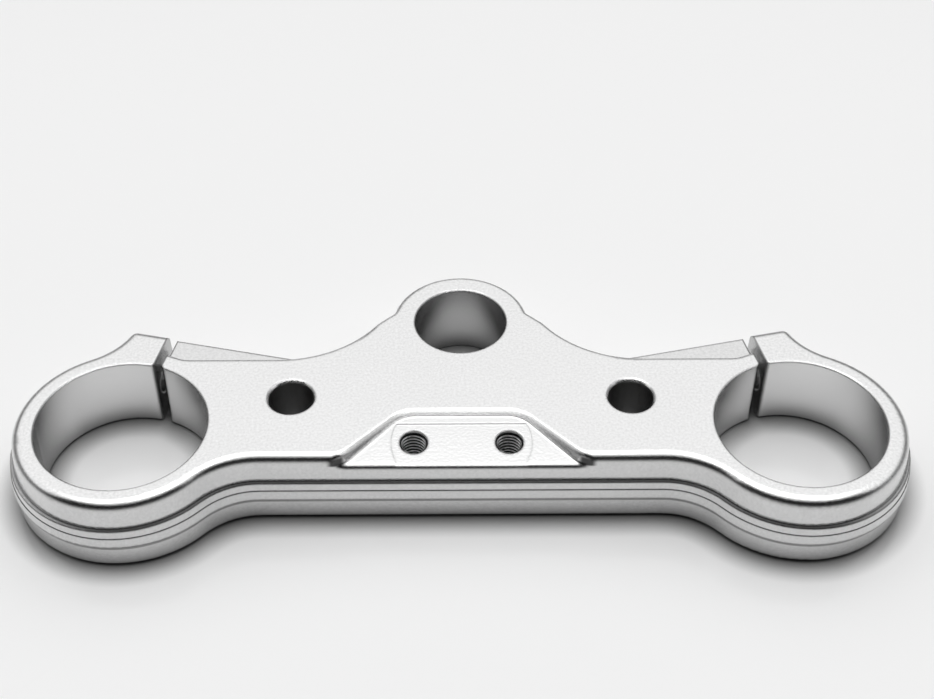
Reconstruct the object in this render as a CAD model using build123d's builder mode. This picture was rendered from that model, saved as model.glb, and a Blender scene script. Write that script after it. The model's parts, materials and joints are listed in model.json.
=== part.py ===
from build123d import *
from math import acos, atan2, cos, degrees, hypot, radians, sin, sqrt, tan
import os

# Upper triple clamp of a motorcycle: the yoke that ties the two fork tubes to the steering stem.
# It is one aluminium forging, milled on its top and bottom faces, bored, and slit at both fork clamps.
# The origin is on the stem bore's axis at the bottom face. +Z is up, +X is to the right, and the
# fork bores and the instrument pocket lie on the front side, towards -Y. All sizes are millimetres.

# Bores and where they stand
fork_spacing = 197.0            # between the two fork bores
fork_bore_diameter = 50.0
fork_offset = 43.5              # fork axes in front of the stem axis
stem_bore_diameter = 28.0
handlebar_spacing = 100.0
handlebar_hole_diameter = 13.2
handlebar_set_back = 10.9       # behind the line of the fork axes

# Outline at the top face
fork_wall = 6.1                 # wall of the clamp ring round a fork bore
stem_wall = 6.7                 # wall of the boss round the stem bore
front_reach = 13.4              # straight front wall, ahead of the fork axes
front_blend_radius = 24.0       # hollow between the front wall and a clamp ring
back_reach = 27.3               # straight back edge, behind the fork axes
flank_radius = 35.5             # hollow flank that rises to the stem boss
flank_foot = 55.0               # where that flank leaves the straight back edge
flank_sweep = 56.0              # degrees that the flank turns through
boss_shoulder_angle = 12.0      # degrees behind the stem axis where the boss meets the flank
boss_shoulder_radius = 3.0      # hollow where it does
flank_end_radius = 12.0         # round shoulder at the top of the flank
ring_meet_radius = 8.0          # hollow where the back edge runs into a clamp ring

# Clamp lug, which leans inwards, with its slit and pinch bolt
lug_angle = 13.0                # lean of the slit from straight back
lug_reach = 38.9                # back face of the lug, from the fork axis
slit_offset = 1.9               # the slit passes this far inboard of the fork axis
slit_width = 2.4
slit_bevel = 1.7                # bevel of each corner between the slit and the bore
ear_reach = 11.0                # outer corner of the ear, outboard of the fork axis
ear_blend_radius = 22.0         # hollow between the ear and the clamp ring
ear_corner_radius = 2.4
lug_drop = 2.2                  # inboard half of the lug, below the top face
lug_root_radius = 6.0           # hollow where the back of the lug meets the flank
pinch_bolt_inset = 6.9          # bolt axis, ahead of the back face of the lug
pinch_thread_diameter = 8.0
pinch_clearance_diameter = 8.6
pinch_thread_depth = 22.0
drill_point_angle = 118.0
pinch_head_diameter = 13.6      # counterbore that seats the bolt head
pinch_head_seat = 10.2          # seat of the head, outboard of the fork axis

# Heights
yoke_thickness = 24.0
lower_band_height = 8.6         # top of the lowest band of the wall
seam_height = 12.3              # fine seam in the middle band
ledge_height = 15.1             # ledge where the wall steps in under the top
wall_draft = 5.0                # degrees that the upper and middle walls lean
ledge_width = 1.05
seam_step = 0.15                # the wall below the seam stands out by this much
lower_band_step = 0.7           # the lowest band is set back by this much
front_edge_radius = 2.9         # round edge of the top face, front and sides
back_edge_radius = 1.6          # the same along the back, between the slits
ledge_edge_radius = 0.3
middle_foot_radius = 0.55       # round lower edge of the middle band
bottom_edge_radius = 2.2

# Instrument pocket in the front of the top face
pocket_depth = 3.6              # at the front edge, from where the floor rises backwards
pocket_ramp = 6.5               # degrees that the floor rises by
pocket_wall_lean = 22.0         # degrees that the walls lean outwards
pocket_mouth_width = 67.8       # floor at the front wall
pocket_back = 4.5               # back edge of the floor, behind the line of the fork axes
pocket_side_angle = 47.0        # angle of the side walls to the front wall
pocket_corner_radius = 9.0
pocket_lip_radius = 7.5         # rounded nose at each end of the mouth
pocket_lip_angle = 22.0         # angle at which the nose runs out at the front wall
pocket_floor_radius = 0.6
pocket_front_radius = 1.7       # round front edge of the floor
pad_width = 40.8                # shallow pad in the floor, round the threaded holes
pad_back = 1.6                  # back edge of the pad, behind the line of the fork axes
pad_end_radius = 15.0
pad_depth = 0.15
screw_spacing = 27.6            # threaded holes in the pocket
screw_set_forward = 4.9         # ahead of the line of the fork axes
screw_thread_diameter = 8.0

# Small bevels
bore_bevel = 0.3
foot_bevel = 0.8
handlebar_bevel = 0.7
screw_bevel = 0.35

# Worked out from the sizes above
fork_x = fork_spacing / 2
fork_y = -fork_offset
bore_radius = fork_bore_diameter / 2
ring_radius = bore_radius + fork_wall
boss_radius = stem_bore_diameter / 2 + stem_wall
front_y = fork_y - front_reach
handlebar_y = fork_y + handlebar_set_back
back_y = fork_y + back_reach
pocket_floor = yoke_thickness - pocket_depth
lug_top = yoke_thickness - lug_drop
pinch_bolt_reach = lug_reach - pinch_bolt_inset
bolt_height = yoke_thickness / 2
ring_meet_x = fork_x - sqrt(ring_radius**2 - back_reach**2)

# How far each level of the wall stands outside the outline of the top face
lean = tan(radians(wall_draft))
upper_foot_growth = (yoke_thickness - ledge_height) * lean
middle_top_growth = upper_foot_growth + ledge_width
seam_growth = middle_top_growth + (ledge_height - seam_height) * lean + seam_step
middle_foot_growth = seam_growth + (seam_height - lower_band_height) * lean
lower_band_growth = middle_foot_growth - lower_band_step
pocket_edge_y = front_y - pocket_depth * lean
near = 0.01                     # two places closer than this are the same


def polar(center, radius, angle):
    """Point at a radius and an angle in degrees from a centre."""
    return (center[0] + radius * cos(radians(angle)), center[1] + radius * sin(radians(angle)))


def heading(start, end):
    """Angle in degrees of the line from start to end."""
    return degrees(atan2(end[1] - start[1], end[0] - start[0]))


def lug_point(outboard, behind):
    """Point of the right clamp, given outboard of and behind its fork axis, turned with the lug."""
    turn = radians(lug_angle)
    return (
        fork_x + outboard * cos(turn) - behind * sin(turn),
        fork_y + outboard * sin(turn) + behind * cos(turn),
    )


def lug_place(point):
    """How far a point lies outboard of and behind its own fork axis, turned with the lug."""
    turn = radians(lug_angle)
    across, back = abs(point.X) - fork_x, point.Y - fork_y
    return (across * cos(turn) + back * sin(turn), back * cos(turn) - across * sin(turn))


def bolt_plane(outboard, facing=1):
    """Plane across the right clamp's pinch bolt, facing outboard, or inboard with -1."""
    place = lug_point(outboard, pinch_bolt_reach)
    turn = radians(lug_angle)
    return Plane(
        origin=(place[0], place[1], bolt_height),
        z_dir=(facing * cos(turn), facing * sin(turn), 0),
    )


fork_center = (fork_x, fork_y)
boss_center = (0, 0)

# Front blend: its centre is ahead of the front wall, a blend radius outside the clamp ring
front_blend_y = front_y - front_blend_radius
front_blend_x = fork_x - sqrt(
    (ring_radius + front_blend_radius) ** 2 - (front_blend_y - fork_y) ** 2
)
front_blend_center = (front_blend_x, front_blend_y)
ring_front = polar(fork_center, ring_radius, heading(fork_center, front_blend_center))

# Flank: a hollow arc that starts level on the straight back edge and rises towards the boss
flank_center = (flank_foot, back_y + flank_radius)
flank_end = polar(flank_center, flank_radius, 270 - flank_sweep)
flank_middle = polar(flank_center, flank_radius, 270 - flank_sweep / 2)
boss_shoulder = polar(boss_center, boss_radius, boss_shoulder_angle)
boss_side = polar(boss_center, boss_radius, (90 + boss_shoulder_angle) / 2)

# Ear: its hollow flank touches the clamp ring and ends at the ear's outer back corner
ear_corner = lug_point(ear_reach, lug_reach)
ear_distance = hypot(ear_reach, lug_reach)
blend_distance = ring_radius + ear_blend_radius
ear_turn = degrees(
    acos(
        (ear_distance**2 + blend_distance**2 - ear_blend_radius**2)
        / (2 * ear_distance * blend_distance)
    )
)
ear_blend_center = polar(fork_center, blend_distance, heading(fork_center, ear_corner) - ear_turn)
ear_start_angle = heading(ear_blend_center, fork_center)
ear_end_angle = heading(ear_blend_center, ear_corner) % 360
ear_start = polar(ear_blend_center, ear_blend_radius, ear_start_angle)
ear_middle = polar(ear_blend_center, ear_blend_radius, (ear_start_angle % 360 + ear_end_angle) / 2)

# The web, the stem boss and the two clamp rings, without the lugs
with BuildSketch() as body_plan:
    with BuildLine() as right_half:
        Line((0, front_y), (front_blend_x, front_y))
        RadiusArc((front_blend_x, front_y), ring_front, front_blend_radius)
        Line(ring_front, fork_center)
        Line(fork_center, (fork_x, back_y))
        Line((fork_x, back_y), (flank_foot, back_y))
        ThreePointArc((flank_foot, back_y), flank_middle, flank_end)
        Line(flank_end, boss_shoulder)
        ThreePointArc(boss_shoulder, boss_side, (0, boss_radius))
        Line((0, boss_radius), (0, front_y))
    make_face()
    mirror(about=Plane.YZ)
    with Locations((fork_x, fork_y), (-fork_x, fork_y)):
        Circle(ring_radius)
    for place, radius in (
        (boss_shoulder, boss_shoulder_radius),
        (flank_end, flank_end_radius),
        ((ring_meet_x, back_y), ring_meet_radius),
    ):
        pair = [v for v in body_plan.vertices() if hypot(abs(v.X) - place[0], v.Y - place[1]) < near]
        fillet(pair, radius=radius)

# The outboard half of each lug, an ear as high as the rest of the clamp
slit_back = lug_point(-slit_offset, lug_reach)
with BuildSketch() as ear_plan:
    with BuildLine() as right_ear:
        Line(fork_center, slit_back)
        Line(slit_back, ear_corner)
        ThreePointArc(ear_corner, ear_middle, ear_start)
        Line(ear_start, fork_center)
    make_face()
    outer_corner = ear_plan.vertices().sort_by_distance((ear_corner[0], ear_corner[1], 0))[0]
    fillet(outer_corner, radius=ear_corner_radius)
    mirror(about=Plane.YZ)

# The inboard half of each lug, a bar along the bolt that runs out into the flank
lug_bar_length = (fork_x - flank_foot + flank_radius / 2) / cos(radians(lug_angle))
lug_bar_tip = lug_point(-lug_bar_length, lug_reach)
with BuildSketch() as lug_plan:
    with BuildLine() as right_lug:
        Polyline(fork_center, slit_back, lug_bar_tip, (lug_bar_tip[0], fork_y), close=True)
    make_face()
    mirror(about=Plane.YZ)

with BuildSketch() as full_plan:
    add(body_plan.sketch)
    add(ear_plan.sketch)
    add(lug_plan.sketch)
    lug_roots = [v for v in full_plan.vertices() if lug_place(v)[0] < -slit_offset - near]
    lug_roots = [v for v in lug_roots if abs(lug_place(v)[1] - lug_reach) < near]
    fillet(lug_roots, radius=lug_root_radius)

with BuildSketch() as top_plan:
    add(body_plan.sketch)
    add(ear_plan.sketch)

# The floor of the instrument pocket, open to the front, with a rounded nose at each side.
# It is drawn on the ramp, whose origin is on the front edge of the floor.
ramp_plane = Plane(
    origin=(0, pocket_edge_y, pocket_floor),
    x_dir=(1, 0, 0),
    z_dir=(0, -sin(radians(pocket_ramp)), cos(radians(pocket_ramp))),
)
pocket_back_y = fork_y + pocket_back - pocket_edge_y
mouth_y = front_y - pocket_edge_y
pocket_front_y = mouth_y - pocket_lip_radius
mouth_half = pocket_mouth_width / 2
back_half = mouth_half - (pocket_back_y - mouth_y) / tan(radians(pocket_side_angle))
lip_center = (
    mouth_half + pocket_lip_radius * tan(radians(pocket_side_angle / 2)),
    mouth_y + pocket_lip_radius,
)
lip_start = polar(lip_center, pocket_lip_radius, 270 - pocket_side_angle)
lip_middle = polar(lip_center, pocket_lip_radius, 270 - (pocket_side_angle + pocket_lip_angle) / 2)
lip_end = polar(lip_center, pocket_lip_radius, 270 - pocket_lip_angle)
lip_run = (lip_end[1] - pocket_front_y) / tan(radians(pocket_lip_angle))
with BuildSketch() as pocket_plan:
    with BuildLine() as right_pocket:
        Polyline((0, pocket_back_y), (back_half, pocket_back_y), lip_start)
        ThreePointArc(lip_start, lip_middle, lip_end)
        Polyline(lip_end, (lip_end[0] + lip_run, pocket_front_y), (0, pocket_front_y))
        Line((0, pocket_front_y), (0, pocket_back_y))
    make_face()
    mirror(about=Plane.YZ)
    back_corners = [v for v in pocket_plan.vertices() if abs(v.Y - pocket_back_y) < near]
    fillet(back_corners, radius=pocket_corner_radius)

# The pad in that floor, with its ends rounded about the line of the threaded holes
pad_end_x = pad_width / 2 - pad_end_radius
pad_back_y = fork_y + pad_back - pocket_edge_y
screw_line_y = fork_y - screw_set_forward - pocket_edge_y
pad_corner_x = pad_end_x + sqrt(pad_end_radius**2 - (pad_back_y - screw_line_y) ** 2)
with BuildSketch() as pad_plan:
    with Locations((pad_end_x, screw_line_y), (-pad_end_x, screw_line_y)):
        Circle(pad_end_radius)
    with Locations((0, pad_back_y)):
        Rectangle(pad_width, 2 * pad_end_radius, align=(Align.CENTER, Align.MAX), mode=Mode.INTERSECT)
    with Locations((0, pad_back_y)):
        Rectangle(2 * pad_corner_x, pad_back_y - pocket_front_y, align=(Align.CENTER, Align.MAX))

# The slit through a lug, with its mouth bevelled where it opens into the fork bore
slit_inner = -slit_offset - slit_width / 2
slit_outer = -slit_offset + slit_width / 2
mouth_reach = sqrt(bore_radius**2 - slit_offset**2)
with BuildSketch() as slit_plan:
    with BuildLine() as right_slit:
        Polyline(
            lug_point(slit_inner - slit_bevel, mouth_reach - slit_bevel / 2),
            lug_point(slit_inner, mouth_reach + slit_bevel / 2),
            lug_point(slit_inner, lug_reach + middle_foot_growth + slit_width),
            lug_point(slit_outer, lug_reach + middle_foot_growth + slit_width),
            lug_point(slit_outer, mouth_reach + slit_bevel / 2),
            lug_point(slit_outer + slit_bevel, mouth_reach - slit_bevel / 2),
            close=True,
        )
    make_face()
    mirror(about=Plane.YZ)

# Drillings for a pinch bolt: clearance and head seat outboard of the slit, thread inboard
with BuildPart() as pinch_drilling:
    with BuildSketch(bolt_plane(-slit_offset)):
        Circle(pinch_clearance_diameter / 2)
    extrude(amount=pinch_head_seat + slit_offset)
    with BuildSketch(bolt_plane(pinch_head_seat)):
        Circle(pinch_head_diameter / 2)
    extrude(amount=ring_radius)
    with BuildSketch(bolt_plane(-slit_offset)):
        Circle(pinch_thread_diameter / 2)
    extrude(amount=-(slit_width / 2 + pinch_thread_depth))
    with Locations(bolt_plane(slit_inner - pinch_thread_depth, facing=-1)):
        Cone(
            pinch_thread_diameter / 2,
            0,
            pinch_thread_diameter / 2 / tan(radians(drill_point_angle / 2)),
            align=(Align.CENTER, Align.CENTER, Align.MIN),
        )
    mirror(about=Plane.YZ)

# What the milling cutter takes out of the pocket: its bottom edge leaves a rounded corner
with BuildPart() as pocket_cutter:
    with BuildSketch(ramp_plane):
        add(pocket_plan.sketch)
    extrude(amount=2 * pocket_depth, taper=-pocket_wall_lean)
    fillet(pocket_cutter.faces().sort_by(Axis.Z)[0].edges(), radius=pocket_floor_radius)

# The middle band of the wall, in two drafts that meet at the seam
with BuildPart() as middle_band:
    with BuildSketch(Plane.XY.offset(lower_band_height)):
        add(full_plan.sketch)
        offset(amount=middle_foot_growth)
    extrude(amount=seam_height - lower_band_height, taper=wall_draft)
    fillet(middle_band.faces().sort_by(Axis.Z)[0].edges(), radius=middle_foot_radius)
    with BuildSketch(Plane.XY.offset(seam_height)):
        add(full_plan.sketch)
        offset(amount=seam_growth - seam_step)
    extrude(amount=ledge_height - seam_height, taper=wall_draft)
    fillet(middle_band.faces().sort_by(Axis.Z)[-1].edges(), radius=ledge_edge_radius)

with BuildPart() as triple_clamp:
    # The lowest band, set back under the middle one
    with BuildSketch(Plane.XY):
        add(full_plan.sketch)
        offset(amount=lower_band_growth)
    extrude(amount=lower_band_height)
    fillet(triple_clamp.faces().sort_by(Axis.Z)[0].edges(), radius=bottom_edge_radius)
    add(middle_band.part)

    # The upper wall, and the inboard half of each lug, which stays lower than the top face
    with BuildSketch(Plane.XY.offset(ledge_height)):
        add(top_plan.sketch)
        offset(amount=upper_foot_growth)
    extrude(amount=yoke_thickness - ledge_height, taper=wall_draft)
    with BuildSketch(Plane.XY.offset(ledge_height)):
        add(lug_plan.sketch)
    extrude(amount=lug_top - ledge_height)

    # Bores through the whole clamp
    with Locations((fork_x, fork_y, yoke_thickness), (-fork_x, fork_y, yoke_thickness)):
        Hole(bore_radius)
    with Locations((0, 0, yoke_thickness)):
        Hole(stem_bore_diameter / 2)
    with Locations(
        (handlebar_spacing / 2, handlebar_y, yoke_thickness),
        (-handlebar_spacing / 2, handlebar_y, yoke_thickness),
    ):
        Hole(handlebar_hole_diameter / 2)
    for height, radius, bevel in (
        (yoke_thickness, bore_radius, bore_bevel),
        (yoke_thickness, stem_bore_diameter / 2, bore_bevel),
        (yoke_thickness, handlebar_hole_diameter / 2, handlebar_bevel),
        (0, bore_radius, foot_bevel),
        (0, stem_bore_diameter / 2, bore_bevel),
        (0, handlebar_hole_diameter / 2, handlebar_bevel),
    ):
        mouths = [
            edge
            for edge in triple_clamp.edges().filter_by(GeomType.CIRCLE)
            if abs(edge.radius - radius) < near and abs(edge.center().Z - height) < near
        ]
        chamfer(mouths, length=bevel)

    # Slits and the drillings for their pinch bolts
    with BuildSketch(Plane.XY):
        add(slit_plan.sketch)
    extrude(amount=yoke_thickness, mode=Mode.SUBTRACT)
    add(pinch_drilling.part, mode=Mode.SUBTRACT)

    # Round edges, first along the back between the slits, then round the front and the ears
    def outer_edges(at_back):
        """Edges of the top face on the outer wall, either at the back or on the rest of it."""
        chosen = []
        for edge in triple_clamp.faces().sort_by(Axis.Z)[-1].outer_wire().edges():
            middle = edge @ 0.5
            outboard, behind = lug_place(middle)
            in_slit = abs(outboard + slit_offset) < slit_width and behind > 0
            in_bore = hypot(outboard, behind) < bore_radius + fork_wall / 2
            is_back = middle.Y > handlebar_y and outboard < -slit_offset
            if not (in_slit or in_bore) and is_back == at_back:
                chosen.append(edge)
        return chosen

    fillet(outer_edges(at_back=True), radius=back_edge_radius)
    fillet(outer_edges(at_back=False), radius=front_edge_radius)

    # The pocket with its pad, and the threaded holes in it
    add(pocket_cutter.part, mode=Mode.SUBTRACT)
    pocket_front = [
        edge
        for edge in triple_clamp.edges()
        if abs((edge @ 0.5).Y - pocket_edge_y) < near and abs((edge @ 0.5).Z - pocket_floor) < near
    ]
    fillet(pocket_front, radius=pocket_front_radius)
    with BuildSketch(ramp_plane.offset(-pad_depth)):
        add(pad_plan.sketch)
    extrude(amount=pocket_depth, mode=Mode.SUBTRACT)
    screw_y = fork_y - screw_set_forward
    with Locations(
        (screw_spacing / 2, screw_y, yoke_thickness),
        (-screw_spacing / 2, screw_y, yoke_thickness),
    ):
        Hole(screw_thread_diameter / 2)
    screw_mouths = []
    for edge in triple_clamp.edges():
        middle = edge.center(CenterOf.MASS)
        if hypot(abs(middle.X) - screw_spacing / 2, middle.Y - screw_y) < screw_bevel:
            screw_mouths.append(edge)
    chamfer(screw_mouths, length=screw_bevel)

triple_clamp.part.label = "triple_clamp"
os.makedirs("parts", exist_ok=True)
export_step(triple_clamp.part, "parts/triple_clamp.step")
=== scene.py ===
import json
from math import pi, radians, sin

import bpy
import numpy as np
from mathutils import Matrix


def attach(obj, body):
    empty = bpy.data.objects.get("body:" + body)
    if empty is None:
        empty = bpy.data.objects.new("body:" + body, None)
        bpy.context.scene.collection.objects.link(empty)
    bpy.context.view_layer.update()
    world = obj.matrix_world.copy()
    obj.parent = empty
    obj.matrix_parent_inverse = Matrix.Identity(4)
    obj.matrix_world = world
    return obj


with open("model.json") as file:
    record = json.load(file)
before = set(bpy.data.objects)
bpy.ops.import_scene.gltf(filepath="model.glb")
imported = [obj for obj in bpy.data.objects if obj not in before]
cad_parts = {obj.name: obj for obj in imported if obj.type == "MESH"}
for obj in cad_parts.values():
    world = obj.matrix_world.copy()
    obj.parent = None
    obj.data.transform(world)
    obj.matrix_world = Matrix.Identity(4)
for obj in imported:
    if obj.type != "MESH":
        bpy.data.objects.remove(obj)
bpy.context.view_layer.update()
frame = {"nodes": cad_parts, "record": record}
mounts = {mount["name"]: mount for mount in frame["record"]["mounts"]}

# Studio
# The clamp lies under a bright overhead softbox, in front of a pale backdrop with grey at its foot.
# The room behind the camera is dark, which draws the black lines along the round front edges.
scene = bpy.context.scene
scene.view_settings.view_transform = "Standard"

overhead_levels = (0.8, 5.6)    # softbox above the clamp, at its near and far side
overhead_turn = (-0.35, 0.3)    # how far a direction leans away from the camera, for those two levels
backdrop_level = 1.30           # pale backdrop beyond the clamp, which the flat top face mirrors
skirting_level = 0.26           # grey foot of the backdrop, all round
room_level = 0.012              # dark room behind the camera
skirting_top = (20.0, 35.0)     # degrees up between which the grey foot gives way to the backdrop
overhead_foot = (62.0, 73.0)    # degrees up between which the backdrop gives way to the softbox
room_top = (55.0, 64.0)         # degrees up between which the room gives way to the softbox
room_foot = (3.0, 14.0)         # degrees up between which the grey foot gives way to the room
room_side = (0.1, 0.5)          # cosine of the turn from the camera's side, clear and fully dark
least_run = 1e-4                # keeps the turn defined straight up


def math_node(tree, operation, first, second=None, third=None):
    """A Math node whose inputs are sockets or plain numbers. Returns its output."""
    node = tree.nodes.new("ShaderNodeMath")
    node.operation = operation
    for socket, value in zip(node.inputs, (first, second, third)):
        if value is None:
            continue
        if isinstance(value, (int, float)):
            socket.default_value = value
        else:
            tree.links.new(value, socket)
    return node.outputs[0]


def smooth_step(tree, value, low, high, start=0.0, end=1.0):
    """Smooth ramp of a socket, from start at low to end at high."""
    node = tree.nodes.new("ShaderNodeMapRange")
    node.interpolation_type = "SMOOTHSTEP"
    tree.links.new(value, node.inputs["Value"])
    for name, number in zip(("From Min", "From Max", "To Min", "To Max"), (low, high, start, end)):
        if isinstance(number, (int, float)):
            node.inputs[name].default_value = number
        else:
            tree.links.new(number, node.inputs[name])
    return node.outputs[0]


def split_vector(tree, vector):
    """The three numbers of a vector socket."""
    node = tree.nodes.new("ShaderNodeSeparateXYZ")
    tree.links.new(vector, node.inputs[0])
    return node.outputs


def product(tree, *values):
    """All those sockets or numbers multiplied. Returns the output."""
    result = values[0]
    for value in values[1:]:
        result = math_node(tree, "MULTIPLY", result, value)
    return result


def level_length(tree, across, along):
    """Length of a level vector, from its two sockets."""
    return math_node(tree, "SQRT", math_node(
        tree, "MULTIPLY_ADD", across, across, product(tree, along, along)))


def climb(tree, up, degrees_up, start, end):
    """Smooth ramp over the upward part of a direction, between two angles above the horizon."""
    return smooth_step(tree, up, *[sin(radians(angle)) for angle in degrees_up], start, end)


world = bpy.data.worlds.new("studio")
scene.world = world
world.use_nodes = True
sky = world.node_tree
sky.nodes.clear()
side, away, up = split_vector(sky, sky.nodes.new("ShaderNodeTexCoord").outputs["Generated"])
level_run = math_node(sky, "MAXIMUM", level_length(sky, side, away), least_run)
toward_camera = math_node(sky, "DIVIDE", product(sky, away, -1.0), level_run)
backdrop = climb(sky, up, skirting_top, skirting_level, backdrop_level)
overhead = smooth_step(sky, away, *overhead_turn, *overhead_levels)
studio = climb(sky, up, overhead_foot, backdrop, overhead)
room_rise = climb(sky, up, room_foot, 0.0, 1.0)
room_share = product(
    sky, smooth_step(sky, toward_camera, *room_side), climb(sky, up, room_top, room_rise, 0.0))
studio_level = smooth_step(sky, room_share, 0.0, 1.0, studio, room_level)
is_camera = sky.nodes.new("ShaderNodeLightPath").outputs["Is Camera Ray"]
background = sky.nodes.new("ShaderNodeBackground")
sky.links.new(math_node(sky, "MAXIMUM", studio_level, is_camera), background.inputs["Strength"])
sky.links.new(background.outputs[0], sky.nodes.new("ShaderNodeOutputWorld").inputs[0])

# Table
# A plain white table top with a satin face, with a shadow painted into its colour where the clamp's foot
# shelters it.
# It isn't part of the object.
table_half = 6.0
table_color = (0.98, 0.98, 0.98)
table_roughness = 0.14
table_ior = 1.6
painted_shadow_distance = 0.008        # how far the painted shadow under the clamp's edge reaches over the table
painted_shadow_power = 1.6             # how sharply that painted shadow gathers at the foot


def scaled_color(tree, color, share):
    """A plain colour times a socket. Returns the output."""
    node = tree.nodes.new("ShaderNodeVectorMath")
    node.operation = "SCALE"
    node.inputs[0].default_value = color
    tree.links.new(share, node.inputs["Scale"])
    return node.outputs[0]


table_corners = [(-table_half, -table_half, 0), (table_half, -table_half, 0),
                 (table_half, table_half, 0), (-table_half, table_half, 0)]
table_mesh = bpy.data.meshes.new("table")
table_mesh.from_pydata(table_corners, [], [(0, 1, 2, 3)])
table = bpy.data.objects.new("table", table_mesh)
scene.collection.objects.link(table)
table_material = bpy.data.materials.new("white_table")
table_material.use_nodes = True
table_tree = table_material.node_tree
table_shader = table_tree.nodes["Principled BSDF"]
table_shader.inputs["Roughness"].default_value = table_roughness
table_shader.inputs["IOR"].default_value = table_ior
# Painted shadow: ambient occlusion darkens the table's colour at the clamp's foot.
painted_shadow_occlusion = table_tree.nodes.new("ShaderNodeAmbientOcclusion")
painted_shadow_occlusion.inputs["Distance"].default_value = painted_shadow_distance
painted_shadow_share = math_node(table_tree, "POWER", painted_shadow_occlusion.outputs["AO"], painted_shadow_power)
table_tree.links.new(scaled_color(table_tree, table_color, painted_shadow_share), table_shader.inputs["Base Color"])
table_mesh.materials.append(table_material)

# Clamp
# One aluminium forging: blasted outside, milled flat on top and turned in its bores.
# The finish changes with the distance from each bore's axis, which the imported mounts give.
clamp = frame["nodes"]["triple_clamp"]
bore_skin = 0.00035             # how far a turned bore's finish reaches into the metal
hole_skin = 0.00008             # the same for a drilled hole
bores = {"fork": ("fork_clamp_right", bore_skin), "stem": ("stem_bore", bore_skin),
         "handlebar": ("handlebar_hole_right", hole_skin), "screw": ("pocket_screw_right", hole_skin)}
back_reach = 0.95               # share of a bore's radius, back from its axis, where its painted sheen is brightest
slit_width = 0.0024

edge_radius = 0.0010            # how round the sharp edges look
pocket_softness = 0.0035        # the same for the pocket's walls
edge_turns = (0.72, 0.99)       # cosine between a sharp edge's face and its rounding, dark and clear
edge_kept = 0.45                # how much light a sharp edge keeps, as shade painted into the colour
ledge_height = 0.0151
seam_height = 0.0123
lower_band_height = 0.0086
line_half = 0.0001              # half the width of the painted shade lines at the ledge and the seam
lines = (                       # lowest and highest place of each line of painted shade, and how much light it keeps
    (ledge_height - line_half, ledge_height + line_half, 0.10),
    (seam_height - line_half, seam_height + line_half, 0.62),
    (0.0075, 0.0084, 0.45),     # painted shade in the lowest band, just under its overhang
)
line_fade = 0.0002              # over which a line sets in and ends
line_end = (0.1, 0.128)         # from the middle, where the lines start to fade and are half as dark

blasted_color = (0.80, 0.80, 0.80)
side_shares = (0.90, 0.87)      # painted shade: how much of that colour the wall keeps at its foot, and from the middle band up
side_top = (0.0212, 0.0232)     # heights between which the wall's painted shade gives way to the top's full colour
# The turned colour is darker than the blasted one as painted shade inside the bores.
turned_color = (0.50, 0.50, 0.50, 1)
painted_sheen_turned_color = (0.80, 0.80, 0.80, 1)     # painted sheen at the back of the fork bores
drilled_color = (0.42, 0.42, 0.42, 1)
sawn_color = (0.45, 0.45, 0.45, 1)
pocket_color = (0.67, 0.67, 0.67, 1)
pocket_wall_color = (0.70, 0.70, 0.70, 1)
blasted_roughness = 0.22
turned_roughness = 0.26
drilled_roughness = 0.30
pocket_roughness = 0.22

pocket_front = -0.0569          # front wall of the clamp
pocket_reach = 0.0378           # from the middle to the pocket's side wall, at the front wall
pocket_narrowing = 0.93         # by how much its half width shrinks for each length backwards
pocket_heights = (0.0200, 0.02385)
pocket_floor_start = 0.0015     # behind the front wall, where the floor's round front edge has ended
pocket_wall_foot = 0.0002       # above the floor, where its walls start
pocket_edge = (-0.0572, 0.0204)     # front edge of the pocket's floor: how far forward and how high
ramp_slope = 0.1139             # rise of the pocket's floor towards the back
mouth_corner = (0.0330, 0.0345, 0.0370, 0.0390)     # painted shade at the dark end of the mouth: its fade in and fade out
mouth_corner_heights = (0.0202, 0.0208, 0.0222, 0.0236)
mouth_corner_depth = 0.0025     # how far it reaches behind the front wall
mouth_corner_kept = 0.12

grain_size = 0.0008
grain_detail = 2.0
grain_depth = 0.000022
grain_contrast = 0.30           # swing of the tint from grain to grain
drift_scale = 35.0              # slow clouds in the tint, per metre
drift_detail = 3.0
drift_contrast = 0.05
turning_pitch = 0.00035
turning_depth = 0.0000025


def group_tree(name, inputs, outputs):
    """A shader node group, from the names and kinds of its sockets.

    Returns its tree and its input and output nodes.
    """
    tree = bpy.data.node_groups.new(name, "ShaderNodeTree")
    for socket_name, kind in inputs:
        tree.interface.new_socket(socket_name, in_out="INPUT", socket_type=kind)
    for socket_name, kind in outputs:
        tree.interface.new_socket(socket_name, in_out="OUTPUT", socket_type=kind)
    return tree, tree.nodes.new("NodeGroupInput"), tree.nodes.new("NodeGroupOutput")


def bore_mask_group():
    """1 inside a vertical bore's wall, for the pair of bores that stand left and right of the middle.

    Back rises from 0 at the sides of the bore to 1 at its back. Distance is that from its axis.
    """
    tree, entry, result = group_tree(
        "bore_mask",
        [("Place", "NodeSocketVector"), ("Across", "NodeSocketFloat"),
         ("Along", "NodeSocketFloat"), ("Radius", "NodeSocketFloat"), ("Skin", "NodeSocketFloat")],
        [("Mask", "NodeSocketFloat"), ("Back", "NodeSocketFloat"), ("Distance", "NodeSocketFloat")])
    x, y, _ = split_vector(tree, entry.outputs["Place"])
    off_x = math_node(tree, "SUBTRACT", math_node(tree, "ABSOLUTE", x), entry.outputs["Across"])
    off_y = math_node(tree, "SUBTRACT", y, entry.outputs["Along"])
    back = math_node(tree, "DIVIDE", off_y, entry.outputs["Radius"])
    distance = level_length(tree, off_x, off_y)
    reach = math_node(tree, "ADD", entry.outputs["Radius"], entry.outputs["Skin"])
    tree.links.new(math_node(tree, "LESS_THAN", distance, reach), result.inputs["Mask"])
    tree.links.new(smooth_step(tree, back, 0.0, back_reach), result.inputs["Back"])
    tree.links.new(distance, result.inputs["Distance"])
    return tree


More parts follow.
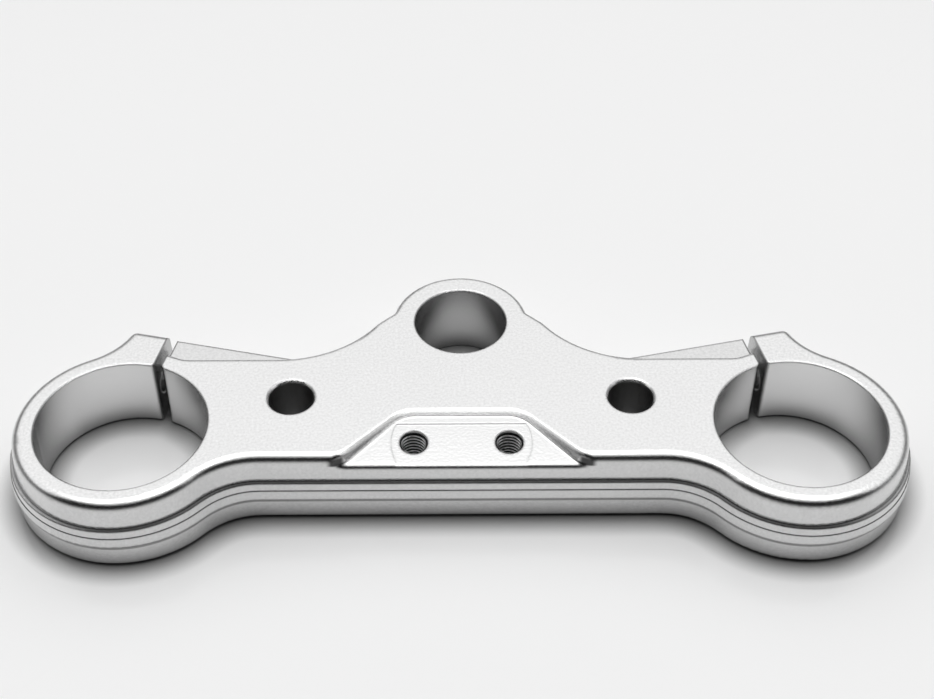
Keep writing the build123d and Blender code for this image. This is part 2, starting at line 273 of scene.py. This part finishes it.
def slit_mask_group():
    """1 on the walls of the slit through each lug, whose lean the pinch bolt's axis gives."""
    tree, entry, result = group_tree(
        "slit_mask", [("Place", "NodeSocketVector")], [("Mask", "NodeSocketFloat")])
    x, y, _ = split_vector(tree, entry.outputs["Place"])
    fork, bolt = mounts["fork_clamp_right"], mounts["pinch_bolt_right"]
    lean_cos, lean_sin = bolt["axis"][:2]
    bolt_x, bolt_y = [bolt["pos_m"][i] - fork["pos_m"][i] for i in range(2)]
    slit_middle = bolt_x * lean_cos + bolt_y * lean_sin + slit_width / 2
    off_x = math_node(tree, "SUBTRACT", math_node(tree, "ABSOLUTE", x), fork["pos_m"][0])
    off_y = math_node(tree, "SUBTRACT", y, fork["pos_m"][1])
    outboard = math_node(tree, "MULTIPLY_ADD", off_x, lean_cos, product(tree, off_y, lean_sin))
    behind = math_node(tree, "MULTIPLY_ADD", off_y, lean_cos, product(tree, off_x, -lean_sin))
    from_middle = math_node(tree, "ABSOLUTE", math_node(tree, "SUBTRACT", outboard, slit_middle))
    in_slit = math_node(tree, "LESS_THAN", from_middle, slit_width / 2 + bore_skin)
    is_behind = math_node(tree, "GREATER_THAN", behind, fork["dims"]["r_mm"] / 1000 - bore_skin)
    tree.links.new(product(tree, in_slit, is_behind), result.inputs["Mask"])
    return tree


def painted_wall_shade_group():
    """How much light the steps of the outer wall keep: below 1 in the line of shade painted along each of
    them.
    """
    tree, entry, result = group_tree(
        "wall_lines", [("Place", "NodeSocketVector")], [("Kept", "NodeSocketFloat")])
    x, _, z = split_vector(tree, entry.outputs["Place"])
    off_middle = math_node(tree, "ABSOLUTE", x)
    kept = []
    for low, high, share in lines:
        share_here = smooth_step(tree, off_middle, *line_end, share, (1 + share) / 2)
        into_line = smooth_step(tree, z, low - line_fade, low, 1.0, share_here)
        kept.append(smooth_step(tree, z, high, high + line_fade, into_line, 1.0))
    tree.links.new(product(tree, *kept), result.inputs["Kept"])
    return tree


def hump(tree, value, stations):
    """Rises from 0 to 1 between the first two stations, and falls back between the last two."""
    rise = smooth_step(tree, value, *stations[:2])
    return smooth_step(tree, value, *stations[2:], rise, 0.0)


def pocket_mask_group():
    """1 on the pocket's floor and walls, behind the floor's round front edge.

    Wall is 1 on the walls only, Corner on the hollows where they meet the front wall, which get painted
    shade.
    """
    tree, entry, result = group_tree(
        "pocket_mask", [("Place", "NodeSocketVector")],
        [("Mask", "NodeSocketFloat"), ("Wall", "NodeSocketFloat"), ("Corner", "NodeSocketFloat")])
    x, y, z = split_vector(tree, entry.outputs["Place"])
    behind_front = math_node(tree, "SUBTRACT", y, pocket_front)
    off_middle = math_node(tree, "ABSOLUTE", x)
    spread = math_node(tree, "MULTIPLY_ADD", behind_front, pocket_narrowing, off_middle)
    mask = product(
        tree,
        math_node(tree, "GREATER_THAN", z, pocket_heights[0]),
        math_node(tree, "LESS_THAN", z, pocket_heights[1]),
        math_node(tree, "LESS_THAN", spread, pocket_reach),
        math_node(tree, "GREATER_THAN", behind_front, pocket_floor_start))
    floor_rise = product(tree, math_node(tree, "SUBTRACT", y, pocket_edge[0]), ramp_slope)
    above_floor = math_node(tree, "SUBTRACT", math_node(tree, "SUBTRACT", z, pocket_edge[1]), floor_rise)
    corner = product(
        tree, hump(tree, off_middle, mouth_corner), hump(tree, z, mouth_corner_heights),
        math_node(tree, "LESS_THAN", behind_front, mouth_corner_depth))
    is_wall = math_node(tree, "GREATER_THAN", above_floor, pocket_wall_foot)
    tree.links.new(mask, result.inputs["Mask"])
    tree.links.new(product(tree, mask, is_wall), result.inputs["Wall"])
    tree.links.new(corner, result.inputs["Corner"])
    return tree


def grain_group():
    """Fine blasted grain: a height for the bump, and a tint around 1 that also drifts slowly."""
    tree, entry, result = group_tree(
        "blasted_grain",
        [("Place", "NodeSocketVector")],
        [("Height", "NodeSocketFloat"), ("Tint", "NodeSocketFloat")])
    fields = []
    for scale, detail in ((1 / grain_size, grain_detail), (drift_scale, drift_detail)):
        noise = tree.nodes.new("ShaderNodeTexNoise")
        noise.inputs["Scale"].default_value = scale
        noise.inputs["Detail"].default_value = detail
        tree.links.new(entry.outputs["Place"], noise.inputs["Vector"])
        fields.append(noise.outputs[0])
    fine, slow = fields
    speck = math_node(tree, "MULTIPLY_ADD", fine, grain_contrast, -grain_contrast / 2)
    drift = math_node(tree, "MULTIPLY_ADD", slow, drift_contrast, 1 - drift_contrast / 2)
    tree.links.new(fine, result.inputs["Height"])
    tree.links.new(math_node(tree, "ADD", speck, drift), result.inputs["Tint"])
    return tree


def add_group(tree, group, place):
    """A group node in a material, fed with the place on the object."""
    node = tree.nodes.new("ShaderNodeGroup")
    node.node_tree = group
    tree.links.new(place, node.inputs["Place"])
    return node


def add_bore_mask(tree, group, place, mount, skin):
    """A bore mask in a material, set to one mount's axis and radius."""
    node = add_group(tree, group, place)
    node.inputs["Across"].default_value = mount["pos_m"][0]
    node.inputs["Along"].default_value = mount["pos_m"][1]
    node.inputs["Radius"].default_value = mount["dims"]["r_mm"] / 1000
    node.inputs["Skin"].default_value = skin
    return node


def blend(tree, kind, share, first, second):
    """Mixes two colours or numbers, each a socket or a value. Returns the output."""
    node = tree.nodes.new("ShaderNodeMix")
    node.data_type = kind
    first_input, second_input, output = {"FLOAT": (2, 3, 0), "RGBA": (6, 7, 2)}[kind]
    tree.links.new(share, node.inputs[0])
    for index, value in ((first_input, first), (second_input, second)):
        if isinstance(value, (int, float, tuple)):
            node.inputs[index].default_value = value
        else:
            tree.links.new(value, node.inputs[index])
    return node.outputs[output]


metal = bpy.data.materials.new("clamp_aluminium")
metal.use_nodes = True
tree = metal.node_tree
shader = tree.nodes["Principled BSDF"]
shader.inputs["Metallic"].default_value = 1.0
place = tree.nodes.new("ShaderNodeTexCoord").outputs["Object"]

bore_mask = bore_mask_group()
bore_masks = {
    bore: add_bore_mask(tree, bore_mask, place, mounts[name], skin).outputs
    for bore, (name, skin) in bores.items()}
turned = math_node(tree, "MAXIMUM", bore_masks["fork"]["Mask"], bore_masks["stem"]["Mask"])
drilled = math_node(tree, "MAXIMUM", bore_masks["handlebar"]["Mask"], bore_masks["screw"]["Mask"])
painted_sheen = product(tree, bore_masks["fork"]["Mask"], bore_masks["fork"]["Back"])
in_pocket, on_wall, in_corner = add_group(tree, pocket_mask_group(), place).outputs
in_slit = add_group(tree, slit_mask_group(), place).outputs["Mask"]
painted_line_shade = add_group(tree, painted_wall_shade_group(), place).outputs["Kept"]
grain_height, grain_tint = add_group(tree, grain_group(), place).outputs
height = split_vector(tree, place)[2]

round_edge = tree.nodes.new("ShaderNodeBevel")
tree.links.new(blend(tree, "FLOAT", on_wall, edge_radius, pocket_softness), round_edge.inputs["Radius"])
# Painted shade along sharp edges: the colour darkens where the rounded normal turns away from the face's
# own.
edge_turn = tree.nodes.new("ShaderNodeVectorMath")
edge_turn.operation = "DOT_PRODUCT"
tree.links.new(round_edge.outputs[0], edge_turn.inputs[0])
tree.links.new(tree.nodes.new("ShaderNodeNewGeometry").outputs["Normal"], edge_turn.inputs[1])
edge_painted_shade = smooth_step(tree, edge_turn.outputs["Value"], *edge_turns, edge_kept, 1.0)
edge_painted_shade = blend(tree, "FLOAT", on_wall, edge_painted_shade, 1.0)
# Painted shade in the hollows at the pocket's mouth.
corner_painted_shade = blend(tree, "FLOAT", in_corner, 1.0, mouth_corner_kept)

# Painted shade: the walls are darker than the top face.
side_painted_shade = smooth_step(tree, height, 0.0, lower_band_height, *side_shares)
side_painted_shade = smooth_step(tree, height, *side_top, side_painted_shade, 1.0)
# The blasted colour is its own grain tint times the painted shade of the lines, walls, edges and mouth
# corners.
grain_and_painted_shade = product(tree, grain_tint, painted_line_shade, side_painted_shade, edge_painted_shade, corner_painted_shade)
color = scaled_color(tree, blasted_color, grain_and_painted_shade)
finishes = (
    (in_pocket, blend(tree, "RGBA", on_wall, pocket_color, pocket_wall_color)),
    (in_slit, sawn_color),
    (turned, blend(tree, "RGBA", painted_sheen, turned_color, painted_sheen_turned_color)),
    (drilled, drilled_color),
)
for mask, finish in finishes:
    color = blend(tree, "RGBA", mask, color, finish)
tree.links.new(color, shader.inputs["Base Color"])
roughness = blend(tree, "FLOAT", in_pocket, blasted_roughness, pocket_roughness)
roughness = blend(tree, "FLOAT", turned, roughness, turned_roughness)
tree.links.new(blend(tree, "FLOAT", drilled, roughness, drilled_roughness), shader.inputs["Roughness"])

turning = math_node(tree, "SINE", product(tree, height, 2 * pi / turning_pitch))
relief = blend(
    tree, "FLOAT", turned, product(tree, grain_height, grain_depth), product(tree, turning, turning_depth))
bump = tree.nodes.new("ShaderNodeBump")
bump.inputs["Distance"].default_value = 1.0
tree.links.new(round_edge.outputs[0], bump.inputs["Normal"])
tree.links.new(relief, bump.inputs["Height"])
tree.links.new(bump.outputs[0], shader.inputs["Normal"])
clamp.data.materials.clear()
clamp.data.materials.append(metal)

# Threads
# The M8 threads in the pocket's two holes, tapped into the forging, with a highlight painted on the crests
# and shade painted in the roots.
# Each is a sleeve whose radius follows the helix, computed with numpy, inside the plain hole.
thread_pitch = 0.00125
thread_depth = 0.00063
upper_flank_share = 0.30        # part of a pitch that the flank facing upwards takes
groove_share = 2 / 3            # depth at which the painted shade in the groove is full, as a share of the thread's
thread_clearance = 0.00003      # between the sleeve's roots and the plain hole
thread_foot = 0.0006            # lower end, above the bottom face
thread_runout = 0.0003          # upper end, below the mouth of the hole
painted_highlight_crest_color = 1.0               # painted highlight on the crests, and painted shade in the roots
painted_shade_root_color = 0.02
thread_roughness = 0.32
steps_round = 96
steps_per_pitch = 10

thread_material = bpy.data.materials.new("tapped_aluminium")
thread_material.use_nodes = True
thread_tree = thread_material.node_tree
thread_shader = thread_tree.nodes["Principled BSDF"]
thread_shader.inputs["Metallic"].default_value = 1.0
thread_shader.inputs["Roughness"].default_value = thread_roughness
right_screw = mounts["pocket_screw_right"]
thread_place = thread_tree.nodes.new("ShaderNodeTexCoord").outputs["Object"]
from_axis = add_bore_mask(thread_tree, bore_mask, thread_place, right_screw, 0.0).outputs["Distance"]
crest_radius = right_screw["dims"]["r_mm"] / 1000 - thread_depth
groove_radius = crest_radius + groove_share * thread_depth
# Painted highlight and shade: bright at the crests, dark in the roots.
thread_painted_light = smooth_step(
    thread_tree, from_axis, crest_radius, groove_radius, painted_highlight_crest_color, painted_shade_root_color)
thread_tree.links.new(thread_painted_light, thread_shader.inputs["Base Color"])


def thread_sleeve(name, mount):
    """Tapped wall of a vertical hole.

    At turn t and height z, with p = frac(z / pitch - t / 2 pi) and s the upper flank's share, the
    radius is root - depth * min(p / (1 - s), (1 - p) / s), a V thread that climbs one pitch per turn.
    Its upper end follows the slope of the pocket's floor.
    """
    x, y, top = mount["pos_m"]
    root = mount["dims"]["r_mm"] / 1000 - thread_clearance
    rows = int(round((top - thread_foot) / thread_pitch * steps_per_pitch))
    turn = np.linspace(0, 2 * pi, steps_round, endpoint=False)[None, :]
    end = top - thread_runout + ramp_slope * root * np.sin(turn)
    z = thread_foot + (end - thread_foot) * np.linspace(0, 1, rows + 1)[:, None]
    phase = np.mod(z / thread_pitch - turn / (2 * pi), 1.0)
    ridge = np.minimum(phase / (1 - upper_flank_share), (1 - phase) / upper_flank_share)
    radius = root - thread_depth * ridge
    points = np.stack([x + radius * np.cos(turn), y + radius * np.sin(turn), z], axis=-1).reshape(-1, 3)
    row, column = np.meshgrid(np.arange(rows), np.arange(steps_round), indexing="ij")
    beside = (column + 1) % steps_round
    corners = np.stack(
        [row * steps_round + column, (row + 1) * steps_round + column,
         (row + 1) * steps_round + beside, row * steps_round + beside], axis=-1).reshape(-1, 4)
    mesh = bpy.data.meshes.new(name)
    mesh.from_pydata(points.tolist(), [], corners.tolist())
    mesh.shade_smooth()
    mesh.materials.append(thread_material)
    sleeve = bpy.data.objects.new(name, mesh)
    scene.collection.objects.link(sleeve)
    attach(sleeve, "root")


for hand in ("right", "left"):
    thread_sleeve("thread_" + hand, mounts["pocket_screw_" + hand])

# Camera
# It stands in front of the clamp and looks down on it at 44 degrees.
# Its place and lens were fitted to the bores of the clamp in the photograph.
frame_width = 934               # pixels of the photograph
focal_length = 1634.9           # in those pixels
look_down = 0.7647              # radians below level
look_right = 0.0138             # radians to the right
lean_left = 0.0059              # radians that the camera leans to its left
camera_place = (-0.00304, -0.37013, 0.36690)
camera_data = bpy.data.cameras.new("camera")
camera_data.sensor_width = 36.0     # millimetres
camera_data.lens = camera_data.sensor_width * focal_length / frame_width
camera = bpy.data.objects.new("camera", camera_data)
scene.collection.objects.link(camera)
scene.camera = camera
camera.matrix_world = (
    Matrix.Translation(camera_place)
    @ Matrix.Rotation(-look_right, 4, "Z")
    @ Matrix.Rotation(pi / 2 - look_down, 4, "X")
    @ Matrix.Rotation(lean_left, 4, "Z")
)
